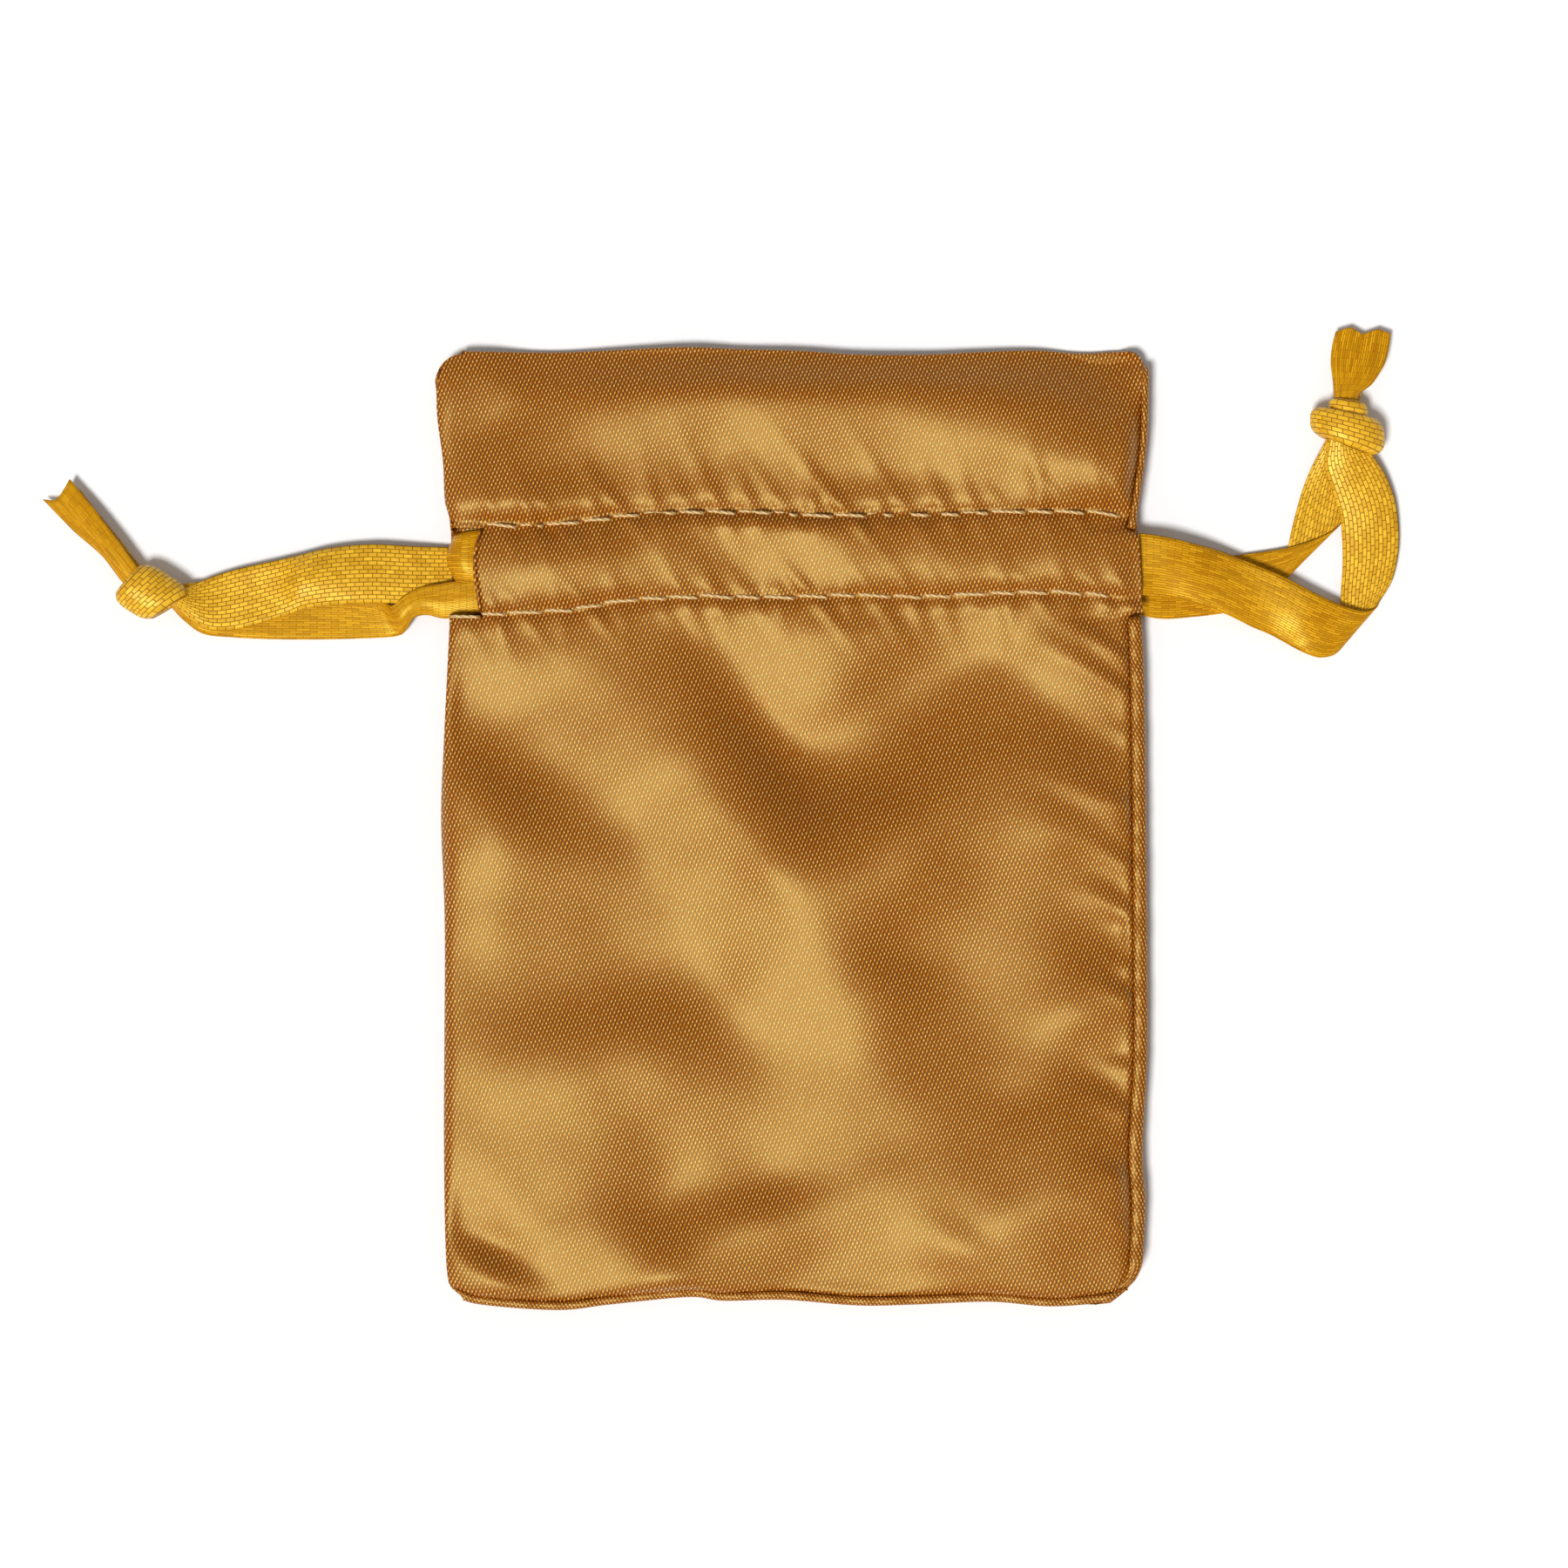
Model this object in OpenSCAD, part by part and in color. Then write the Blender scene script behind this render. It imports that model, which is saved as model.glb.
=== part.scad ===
// Fabric gift sack: an empty satin drawstring pouch, lying on its back, lightly puffed.
// X runs across the sack, +Y points to the mouth, +Z up from the surface it lies on.
// The origin is the middle of the sack's underside. All sizes are in millimetres.

/* [Sack] */
// Width across the flat sack
sack_w = 75; // [70:1:80]
// Height from the bottom edge to the top edge
sack_h = 102; // [96:1:108]
// Thickness of the lightly puffed sack
sack_t = 8.4; // [8:0.1:9]
// Thickness of one ply of satin
cloth_t = 0.3; // [0.2:0.05:0.35]

/* [Casing] */
// Plain header from the top edge down to the upper stitch row
header_h = 17.4; // [14:0.2:18]
// Distance between the two stitch rows
casing_h = 8.9; // [8.8:0.1:9.5]
// Clear height inside each casing
casing_gap = 1.2; // [1.1:0.05:1.3]
// Length of each side slit where the ribbons come out
slit_h = 11.8; // [11.6:0.1:12]
// How far each slit is cut in from the edge
slit_depth = 2.3; // [2.2:0.1:2.5]

/* [Stitching] */
// Distance from one stitch to the next
stitch_pitch = 3.4; // [3:0.1:4]
// Thread diameter
thread_d = 0.4; // [0.3:0.05:0.45]
// Width of the raw seam allowances inside
allowance_w = 4; // [3:0.5:5]

/* [Ribbon] */
// Width of the flat ribbon
ribbon_w = 6.4; // [6:0.1:6.6]
// Thickness of the flat ribbon
ribbon_t = 0.3; // [0.2:0.05:0.4]
// Width of a ribbon where it runs folded in its half of the casing
folded_w = 4; // [3.6:0.1:4.1]
// Diameter of the tied knot
knot_d = 6.4; // [6:0.2:7]

/* [Hidden] */
$fn = 48;

SATIN = "#be8232";
THREAD = "#cda55a";
RIBBON = "#e1a51e";

half_w = sack_w / 2;
half_h = sack_h / 2;
mid_z = sack_t / 2;
edge_r = sack_t / 2;
upper_row_y = half_h - header_h;
lower_row_y = upper_row_y - casing_h;
slit_y = (upper_row_y + lower_row_y) / 2 - 1.3;
slit_x = half_w - slit_depth;
stitch_run = sack_w - 2 * slit_depth - 3;
stitch_l = stitch_pitch - 0.9;
ply_gap = 0.05;
hem_w = 1.6;
// Half the width over which the panels are flat, and the facings and hems lie on them
flat_x = half_w - edge_r;
fold_t = 0.5;
loop_clear = 0.2;
// Height of a folded ribbon's underside in the front casing, and its turn's distance out
loop_z = sack_t - cloth_t - casing_gap + loop_clear;
turn_x = half_w - 1.1;
leg_end_x = half_w - 0.6;
low_lane_y = lower_row_y + 0.3;
high_lane_y = upper_row_y - 0.3 - folded_w;

// Routes of the free ribbons: [x, y, z] of the ribbon's middle line, from the slit through
// the knot to the cut end. Each was laid out by hand.
LEFT_FRONT = [
    [-36.9, 25.4, 7.3], [-39, 24.9, 6.4], [-41.2, 23.8, 4], [-43.6, 23.2, 1.6],
    [-46.5, 23.3, 0.5], [-50, 23.4, 0.3], [-55.5, 23.4, 0.3], [-60.5, 23.5, 0.4],
    [-63.6, 23.9, 0.7], [-66.4, 24.6, 1.4], [-69.2, 25.7, 2], [-71.6, 27.8, 2.2],
    [-75.3, 31.8, 1.6], [-79, 35.8, 0.9]
];
LEFT_BACK = [
    [-36.9, 27.2, 1], [-39.5, 27.2, 1.1], [-43, 27.3, 1.2], [-47.5, 27.3, 1.3],
    [-51.5, 26.9, 1.6], [-55, 26, 1.5], [-58.8, 24.9, 1.2], [-62, 24.3, 1.2],
    [-65, 24.5, 1.6], [-67.4, 25.2, 2], [-69.4, 26.2, 2.4], [-71.8, 28.5, 1.4],
    [-75, 32.4, 0.7], [-78.5, 36.6, 0.4]
];
RIGHT_FRONT = [
    [36.9, 28.4, 7.3], [39.7, 28.1, 6.2], [43, 27.3, 4.2], [46.6, 26.1, 2.6], [50, 24.7, 1.9],
    [53.4, 23.1, 1.7], [56.8, 21.8, 1.5], [59.6, 22, 1.2], [61.2, 24.2, 1], [61.9, 27.6, 1],
    [62, 31.4, 1.1], [61.5, 35, 1.3], [60.5, 38.2, 1.7], [59.6, 41, 2.2], [59.2, 43.6, 2.6],
    [59.6, 46.4, 2.4], [60.3, 50, 1.4], [61, 53.2, 0.8]
];
RIGHT_BACK = [
    [36.9, 26.6, 1], [40, 25.8, 0.6], [43.4, 25.8, 0.4], [47, 26.4, 0.3], [50.2, 27.3, 0.3],
    [53, 28.7, 0.3], [55, 30.6, 0.3], [56.2, 33, 0.4], [57, 35.6, 0.5], [57.8, 38.2, 0.7],
    [58.5, 40.8, 1.1], [59.2, 43.4, 1.6], [60, 46.6, 1.2], [60.8, 50, 0.6], [61, 53, 0.4]
];
LEFT_KNOT = [-69.3, 25.3, 2.4];
RIGHT_KNOT = [59.4, 43, 2.4];
KNOT_H = 4.2;

// One point of a smooth curve through b and c, at the share u of the way between them.
function on_curve(a, b, c, d, u) =
    0.5 * (2 * b + (c - a) * u + (2 * a - 5 * b + 4 * c - d) * u ^ 2
        + (3 * b - a - 3 * c + d) * u ^ 3);

// The route with one more ring between each pair of its points.
function smooth(route) = let (last = len(route) - 1) [
    for (i = [0 : last - 1], u = [0, 0.5])
        on_curve(route[max(i - 1, 0)], route[i], route[i + 1], route[min(i + 2, last)], u),
    route[last]
];

function unit(v) = v / norm(v);

// The flat eight-sided section of the ribbon, across and up.
function ribbon_section() = let (w = ribbon_w / 2, t = ribbon_t / 2)
    [[w, 0], [0.9 * w, t], [0, t], [-0.9 * w, t], [-w, 0], [-0.9 * w, -t], [0, -t], [0.9 * w, -t]];

function ring_at(rings, i) =
    let (
        last = len(rings) - 1,
        ahead = unit(rings[min(i + 1, last)] - rings[max(i - 1, 0)]),
        across = unit(cross([0, 0, 1], ahead)),
        up = cross(ahead, across)
    )
    [for (p = ribbon_section()) rings[i] + across * p[0] + up * p[1]];

// A flat ribbon swept along its route as one closed solid.
module ribbon_strand(route) {
    rings = smooth(route);
    sides = len(ribbon_section());
    count = len(rings);
    points = [for (i = [0 : count - 1]) each ring_at(rings, i)];
    walls = [
        for (i = [0 : count - 2], k = [0 : sides - 1])
            let (a = i * sides + k, b = i * sides + (k + 1) % sides)
                each [[a, a + sides, b + sides], [a, b + sides, b]]
    ];
    first_cap = [for (k = [0 : sides - 1]) k];
    last_cap = [for (k = [sides - 1 : -1 : 0]) (count - 1) * sides + k];
    polyhedron(points, concat(walls, [first_cap, last_cap]), convexity = 10);
}

// The sack's puffed outline as a solid, taken in by the inset on every side but the mouth.
module sack_solid(inset) {
    r = edge_r - inset;
    x = half_w - edge_r;
    y = -half_h + edge_r;
    run = sack_h - edge_r + (inset > 0 ? 1 : 0);
    translate([-x, y, inset]) cube([2 * x, run, 2 * r]);
    for (side = [-1, 1]) {
        translate([side * x, y, mid_z]) rotate([-90, 0, 0]) cylinder(h = run, r = r);
        translate([side * x, y, mid_z]) sphere(r = r);
    }
    translate([-x, y, mid_z]) rotate([0, 90, 0]) cylinder(h = 2 * x, r = r);
}

module slit_cutters() {
    for (side = [-1, 1])
        translate([side * (half_w - slit_depth / 2 + 0.5), slit_y, mid_z])
            cube([slit_depth + 1, slit_h, 2 * sack_t], center = true);
}

// Half of the folded and sewn cloth: its lower half in Z, open at the mouth.
module cloth_half() {
    difference() {
        sack_solid(0);
        sack_solid(cloth_t);
        slit_cutters();
        translate([-sack_w, -sack_h, mid_z]) cube([2 * sack_w, 2 * sack_h, sack_t]);
    }
}

// Mirrors a back piece into the matching front piece.
module to_front() {
    translate([0, 0, sack_t]) mirror([0, 0, 1]) children();
}

module back_panel() {
    color(SATIN) cloth_half();
}

module front_panel() {
    color(SATIN) to_front() cloth_half();
}

// The turned-in top: it lies on the panel in the header and steps off it at the casing.
module facing() {
    low = cloth_t + ply_gap;
    high = cloth_t + casing_gap;
    ramp = 0.8;
    ledge = 1.5;
    section = [
        [half_h, low], [upper_row_y + ramp, low], [upper_row_y, high],
        [lower_row_y, high], [lower_row_y - ramp, low], [lower_row_y - ledge, low],
        [lower_row_y - ledge, low + cloth_t], [lower_row_y - ramp, low + cloth_t],
        [lower_row_y, high + cloth_t], [upper_row_y, high + cloth_t],
        [upper_row_y + ramp, low + cloth_t], [half_h, low + cloth_t]
    ];
    translate([-flat_x, 0, 0]) rotate([90, 0, 90]) linear_extrude(2 * flat_x) polygon(section);
}

module back_facing() {
    color(SATIN) facing();
}

module front_facing() {
    color(SATIN) to_front() facing();
}

// Both raw plies of the side seam, lying inside from the seam inwards.
module side_seam_allowance() {
    color(SATIN) for (side = [-1, 1])
        translate([half_w - cloth_t - allowance_w, -half_h + edge_r, mid_z + side * 0.2 - cloth_t / 2])
            cube([allowance_w, lower_row_y - 3 + half_h - edge_r, cloth_t]);
}

// Both raw plies of the bottom seam.
module bottom_seam_allowance() {
    run = sack_w - 2 * edge_r - allowance_w;
    color(SATIN) for (side = [-1, 1])
        translate([-half_w + edge_r, -half_h + cloth_t, mid_z + side * 0.2 - cloth_t / 2])
            cube([run, allowance_w, cloth_t]);
}

// The turned-in cloth edge at each end of the front and back casings.
module slit_hem(side) {
    x = side > 0 ? flat_x - hem_w : -flat_x;
    hem_h = casing_h - 1;
    color(SATIN) for (z = [cloth_t, sack_t - 2 * cloth_t])
        translate([x, lower_row_y + 0.5, z]) cube([hem_w, hem_h, cloth_t]);
}

module left_slit_hem() {
    slit_hem(-1);
}

module right_slit_hem() {
    slit_hem(1);
}

module stitch(length) {
    rotate([0, 90, 0]) cylinder(h = length, d = thread_d, center = true);
}

// A row of lockstitches along X: the thread shows on the cloth's face and on its facing.
module stitch_row(y) {
    count = floor(stitch_run / stitch_pitch);
    color(THREAD) for (i = [0 : count - 1])
        translate([(i - (count - 1) / 2) * stitch_pitch, y, 0]) {
            translate([0, 0, thread_d / 2]) stitch(stitch_l);
            translate([0, -0.5, cloth_t + ply_gap + cloth_t + 0.1]) stitch(stitch_l);
        }
}

module back_upper_stitching() {
    stitch_row(upper_row_y + 1.4);
}

module back_lower_stitching() {
    stitch_row(lower_row_y - 0.8);
}

module front_upper_stitching() {
    to_front() stitch_row(upper_row_y + 1.4);
}

module front_lower_stitching() {
    to_front() stitch_row(lower_row_y - 0.8);
}

// Stitches through both raw plies, just inside the seamed edges.
module side_seam_stitching() {
    run = lower_row_y - 8 + half_h - edge_r;
    count = floor(run / stitch_pitch);
    color(THREAD) for (i = [0 : count - 1], side = [-1, 1])
        translate([half_w - 1.4, -half_h + edge_r + 2 + (i + 0.5) * stitch_pitch, mid_z + side * 0.45])
            rotate([0, 0, 90]) stitch(stitch_l);
}

module bottom_seam_stitching() {
    run = sack_w - 2 * edge_r - allowance_w - 2;
    count = floor(run / stitch_pitch);
    color(THREAD) for (i = [0 : count - 1], side = [-1, 1])
        translate([-half_w + edge_r + 1 + (i + 0.5) * stitch_pitch, -half_h + 1.4, mid_z + side * 0.45])
            stitch(stitch_l);
}

// A folded ribbon's two runs in the casings and the turn that joins them at the far slit.
// It turns at +X and opens at -X.
module casing_loop(lane_y) {
    low_z = sack_t - loop_z - fold_t;
    high_z = loop_z;
    length = leg_end_x + turn_x;
    translate([-leg_end_x, lane_y, 0]) {
        translate([0, 0, low_z]) cube([length, folded_w, fold_t]);
        translate([0, 0, high_z]) cube([length, folded_w, fold_t]);
        translate([length - fold_t, 0, low_z]) cube([fold_t, folded_w, high_z + fold_t - low_z]);
    }
}

// A tied knot: a rounded band of ribbon.
module knot(centre, turn) {
    r = KNOT_H / 2;
    reach = knot_d / 2 - r;
    color(RIBBON) translate(centre) rotate([0, 0, turn]) hull()
        for (x = [-reach, reach], y = [-reach, reach])
            translate([x, y, 0]) sphere(r = r, $fn = 24);
}

module left_ribbon_casing_loop() {
    color(RIBBON) casing_loop(low_lane_y);
}

module left_ribbon_front_strand() {
    color(RIBBON) ribbon_strand(LEFT_FRONT);
}

module left_ribbon_back_strand() {
    color(RIBBON) ribbon_strand(LEFT_BACK);
}

module left_ribbon_knot() {
    knot(LEFT_KNOT, 30);
}

module right_ribbon_casing_loop() {
    color(RIBBON) mirror([1, 0, 0]) casing_loop(high_lane_y);
}

module right_ribbon_front_strand() {
    color(RIBBON) ribbon_strand(RIGHT_FRONT);
}

module right_ribbon_back_strand() {
    color(RIBBON) ribbon_strand(RIGHT_BACK);
}

module right_ribbon_knot() {
    knot(RIGHT_KNOT, 20);
}

front_panel();
back_panel();
front_facing();
back_facing();
side_seam_allowance();
bottom_seam_allowance();
left_slit_hem();
right_slit_hem();
front_upper_stitching();
front_lower_stitching();
back_upper_stitching();
back_lower_stitching();
side_seam_stitching();
bottom_seam_stitching();
left_ribbon_casing_loop();
left_ribbon_front_strand();
left_ribbon_back_strand();
left_ribbon_knot();
right_ribbon_casing_loop();
right_ribbon_front_strand();
right_ribbon_back_strand();
right_ribbon_knot();
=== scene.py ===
import math

import bpy
import numpy as np
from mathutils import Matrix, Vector


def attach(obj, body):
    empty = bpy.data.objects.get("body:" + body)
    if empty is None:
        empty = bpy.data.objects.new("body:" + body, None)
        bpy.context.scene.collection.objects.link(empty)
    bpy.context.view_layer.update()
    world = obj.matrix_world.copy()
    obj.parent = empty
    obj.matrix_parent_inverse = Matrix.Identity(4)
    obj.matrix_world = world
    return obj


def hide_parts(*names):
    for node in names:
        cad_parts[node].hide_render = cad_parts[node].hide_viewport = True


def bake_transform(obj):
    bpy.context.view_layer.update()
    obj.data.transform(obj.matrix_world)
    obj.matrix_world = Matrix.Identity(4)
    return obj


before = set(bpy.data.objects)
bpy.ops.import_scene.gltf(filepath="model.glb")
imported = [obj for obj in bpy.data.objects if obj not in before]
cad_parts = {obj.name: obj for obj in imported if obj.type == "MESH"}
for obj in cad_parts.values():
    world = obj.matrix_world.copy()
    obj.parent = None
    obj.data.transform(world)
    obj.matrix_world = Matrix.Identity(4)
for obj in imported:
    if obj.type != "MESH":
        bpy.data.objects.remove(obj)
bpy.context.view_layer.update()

MM = 0.001

# ---------------------------------------------------------------- camera
# Straight down on the sack, far enough away that its sides don't show.
VIEW_W = 167.8
CAMERA_LENS = 100
CAMERA_AT = (-1.1, 4.7, VIEW_W * CAMERA_LENS / 36 + 4)


def make_camera():
    data = bpy.data.cameras.new("camera")
    data.lens = CAMERA_LENS
    data.sensor_width = 36
    data.clip_start, data.clip_end = 0.01, 10
    camera = bpy.data.objects.new("camera", data)
    camera.location = [x * MM for x in CAMERA_AT]
    bpy.context.scene.collection.objects.link(camera)
    bpy.context.scene.camera = camera


make_camera()

# ---------------------------------------------------------------- helpers


def smooth(points, per_span):
    """A smooth curve through rows of numbers."""
    p = np.array(points, float)
    p = np.vstack([2 * p[0] - p[1], p, 2 * p[-1] - p[-2]])
    u = np.linspace(0, 1, per_span, endpoint=False)[:, None]
    spans = [
        0.5 * (2 * b + (c - a) * u + (2 * a - 5 * b + 4 * c - d) * u**2
               + (3 * b - a - 3 * c + d) * u**3)
        for a, b, c, d in zip(p, p[1:], p[2:], p[3:])
    ]
    return np.vstack([*spans, p[-2]])


def along(points, at):
    """The second column of the points as a smooth function of the first, at these places."""
    fine = smooth(points, 8)
    return np.interp(at, fine[:, 0], fine[:, 1])


def grid_object(name, points, uv, material, keep=None):
    """A mesh from a grid of points (rows, columns, xyz) in mm. keep marks the quads that stay."""
    rows, cols = points.shape[:2]
    mesh = bpy.data.meshes.new(name)
    index = np.arange(rows * cols).reshape(rows, cols)
    right = index[:, 1:]
    left = index[:, :-1]
    quads = np.stack([left[:-1], right[:-1], right[1:], left[1:]], axis=-1)
    if keep is not None:
        quads = quads[keep]
    quads = quads.reshape(-1, 4)
    used = np.unique(quads)
    renumber = np.zeros(rows * cols, int)
    renumber[used] = np.arange(len(used))
    flat = points.reshape(-1, 3)[used] * MM
    mesh.vertices.add(len(used))
    mesh.vertices.foreach_set("co", flat.ravel())
    mesh.loops.add(quads.size)
    mesh.loops.foreach_set("vertex_index", renumber[quads].ravel())
    mesh.polygons.add(len(quads))
    mesh.polygons.foreach_set("loop_start", np.arange(len(quads)) * 4)
    layer = mesh.uv_layers.new(name="cloth_mm")
    layer.data.foreach_set("uv", uv.reshape(-1, 2)[quads].ravel())
    mesh.update(calc_edges=True)
    mesh.validate()
    mesh.polygons.foreach_set("use_smooth", np.ones(len(mesh.polygons), bool))
    obj = bpy.data.objects.new(name, mesh)
    bpy.context.scene.collection.objects.link(obj)
    for m in material if isinstance(material, (list, tuple)) else [material]:
        mesh.materials.append(m)
    return obj


def thicken(obj, thickness, offset=-1, other_side=0):
    """Real cloth thickness, in mm, with the other side's material slot."""
    solid = obj.modifiers.new("thickness", "SOLIDIFY")
    solid.thickness = thickness * MM
    solid.offset = offset
    solid.material_offset = other_side
    solid.use_even_offset = False


# ---------------------------------------------------------------- materials


class Nodes:
    """A small builder for a material's nodes."""

    def __init__(self, name):
        self.material = bpy.data.materials.new(name)
        self.material.use_nodes = True
        self.tree = self.material.node_tree
        self.shader = next(n for n in self.tree.nodes if n.type == "BSDF_PRINCIPLED")

    def add(self, kind, **values):
        node = self.tree.nodes.new("ShaderNode" + kind)
        for key, value in values.items():
            setattr(node, key, value)
        return node

    def link(self, value, socket):
        if isinstance(value, bpy.types.NodeSocket):
            self.tree.links.new(value, socket)
        else:
            socket.default_value = value

    def math(self, operation, a, b=0.0, c=0.0):
        node = self.add("Math", operation=operation)
        self.link(a, node.inputs[0])
        self.link(b, node.inputs[1])
        self.link(c, node.inputs[2])
        return node.outputs[0]

    def wave(self, across, up, pitch, angle, phase=0.0):
        """Ribs from 0 to 1, with their lines at that angle to the cloth's own width."""
        a = math.radians(angle)
        x = self.math("MULTIPLY", across, -math.sin(a) * 2 * math.pi / pitch)
        y = self.math("MULTIPLY_ADD", up, math.cos(a) * 2 * math.pi / pitch, x)
        y = self.math("ADD", y, phase)
        return self.math("MULTIPLY_ADD", self.math("SINE", y), 0.5, 0.5)

    def mix(self, share, a, b):
        node = self.add("Mix", data_type="RGBA")
        self.link(share, node.inputs[0])
        self.link(a, node.inputs[6])
        self.link(b, node.inputs[7])
        return node.outputs[2]

    def noise(self, vector, scale, detail=2.0):
        node = self.add("TexNoise")
        self.link(vector, node.inputs["Vector"])
        node.inputs["Scale"].default_value = scale
        node.inputs["Detail"].default_value = detail
        return node.outputs["Fac"]

    def stretched(self, vector, along_x, along_y):
        node = self.add("Mapping")
        self.link(vector, node.inputs["Vector"])
        node.inputs["Scale"].default_value = (along_x, along_y, 1)
        return node.outputs[0]

    def brick(self, vector, width, row, light, dark, gap):
        """Woven floats as rows of bricks, some lighter than others."""
        node = self.add("TexBrick", offset=0.5, squash=1.0)
        self.link(vector, node.inputs["Vector"])
        node.inputs["Color1"].default_value = light
        node.inputs["Color2"].default_value = dark
        node.inputs["Mortar"].default_value = gap
        node.inputs["Scale"].default_value = 1.0
        node.inputs["Mortar Size"].default_value = 0.06
        node.inputs["Mortar Smooth"].default_value = 0.9
        node.inputs["Brick Width"].default_value = width
        node.inputs["Row Height"].default_value = row
        return node

    def bump(self, height, distance, strength=1.0):
        node = self.add("Bump")
        self.link(height, node.inputs["Height"])
        node.inputs["Distance"].default_value = distance
        node.inputs["Strength"].default_value = strength
        self.link(node.outputs[0], self.shader.inputs["Normal"])

    def gloss(self, roughness, specular, tint):
        self.shader.inputs["Roughness"].default_value = roughness
        self.shader.inputs["Specular IOR Level"].default_value = specular
        self.shader.inputs["Specular Tint"].default_value = tint

    def cloth_axes(self):
        """The cloth's own coordinates in millimetres: (vector, across, up)."""
        uv = self.add("UVMap", uv_map="cloth_mm").outputs[0]
        split = self.add("SeparateXYZ")
        self.link(uv, split.inputs[0])
        return uv, split.outputs[0], split.outputs[1]


def satin_material():
    n = Nodes("antique_gold_satin")
    uv, across, up = n.cloth_axes()
    ribs = n.math("POWER", n.wave(across, up, 0.37, 68), 1.3)
    dots = n.math("MULTIPLY", ribs, n.wave(across, up, 0.41, 126))
    weave = n.math("MULTIPLY_ADD", dots, 0.75, n.math("MULTIPLY", ribs, 0.3))
    cloth = n.mix(weave, (0.09, 0.013, 0.0002, 1), (0.77, 0.235, 0.007, 1))
    slub = n.noise(n.stretched(uv, 0.25, 1.6), 1.0, 4.0)
    cloth = n.mix(n.math("MULTIPLY", slub, 0.2), cloth, (0.32, 0.09, 0.003, 1))
    # Painted glints: sparse pale-gold specks where the weave's dots meet a noise, painted into the
    # colour as highlights.
    painted_glint = n.math("GREATER_THAN", n.math("MULTIPLY", dots, n.noise(uv, 3.1, 1.0)), 0.38)
    colour = n.mix(n.math("MULTIPLY", painted_glint, 0.8), cloth, (0.98, 0.62, 0.16, 1))
    n.link(colour, n.shader.inputs["Base Color"])
    n.gloss(0.48, 1.0, (1.0, 0.86, 0.31, 1))
    n.bump(weave, 0.00004, 0.45)
    return n.material


def ribbon_satin_material():
    n = Nodes("golden_ribbon_satin_side")
    uv = n.cloth_axes()[0]
    light, dark, gap = (0.86, 0.42, 0.008, 1), (0.46, 0.18, 0.001, 1), (0.26, 0.08, 0.0005, 1)
    floats = n.brick(uv, 1.5, 0.26, light, dark, gap)
    streaks = n.noise(n.stretched(uv, 0.3, 2.2), 1.0, 4.0)
    colour = n.mix(n.math("MULTIPLY", streaks, 0.5), floats.outputs["Color"], (0.5, 0.215, 0.002, 1))
    n.link(colour, n.shader.inputs["Base Color"])
    n.gloss(0.34, 0.7, (1.0, 0.82, 0.14, 1))
    n.bump(n.math("SUBTRACT", 1.0, floats.outputs["Fac"]), 0.00003, 0.5)
    return n.material


def ribbon_basket_material():
    n = Nodes("golden_ribbon_basket_side")
    uv = n.cloth_axes()[0]
    light, dark, gap = (0.9, 0.5, 0.025, 1), (0.66, 0.32, 0.008, 1), (0.28, 0.1, 0.001, 1)
    cells = n.brick(uv, 0.95, 0.46, light, dark, gap)
    n.link(cells.outputs["Color"], n.shader.inputs["Base Color"])
    n.gloss(0.42, 0.8, (1.0, 0.88, 0.28, 1))
    n.bump(n.math("SUBTRACT", 1.0, cells.outputs["Fac"]), 0.00006, 0.9)
    return n.material


def thread_material():
    n = Nodes("tan_thread")
    across, up = n.cloth_axes()[1:]
    twist = n.wave(across, up, 0.5, 35)
    n.link(n.mix(twist, (0.45, 0.26, 0.08, 1), (0.8, 0.58, 0.28, 1)), n.shader.inputs["Base Color"])
    n.shader.inputs["Roughness"].default_value = 0.5
    n.bump(twist, 0.00004, 0.8)
    return n.material


def floor_material():
    n = Nodes("pale_floor")
    n.shader.inputs["Base Color"].default_value = (0.9, 0.9, 0.9, 1)
    n.shader.inputs["Roughness"].default_value = 0.9
    n.shader.inputs["Specular IOR Level"].default_value = 0.1
    return n.material


SATIN = satin_material()
RIBBON_SATIN = ribbon_satin_material()
RIBBON_BASKET = ribbon_basket_material()
THREAD = thread_material()

# ---------------------------------------------------------------- ribbons (free cords)
RIBBON_W = 6.4
RIBBON_T = 0.16
ACROSS = 12


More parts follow.
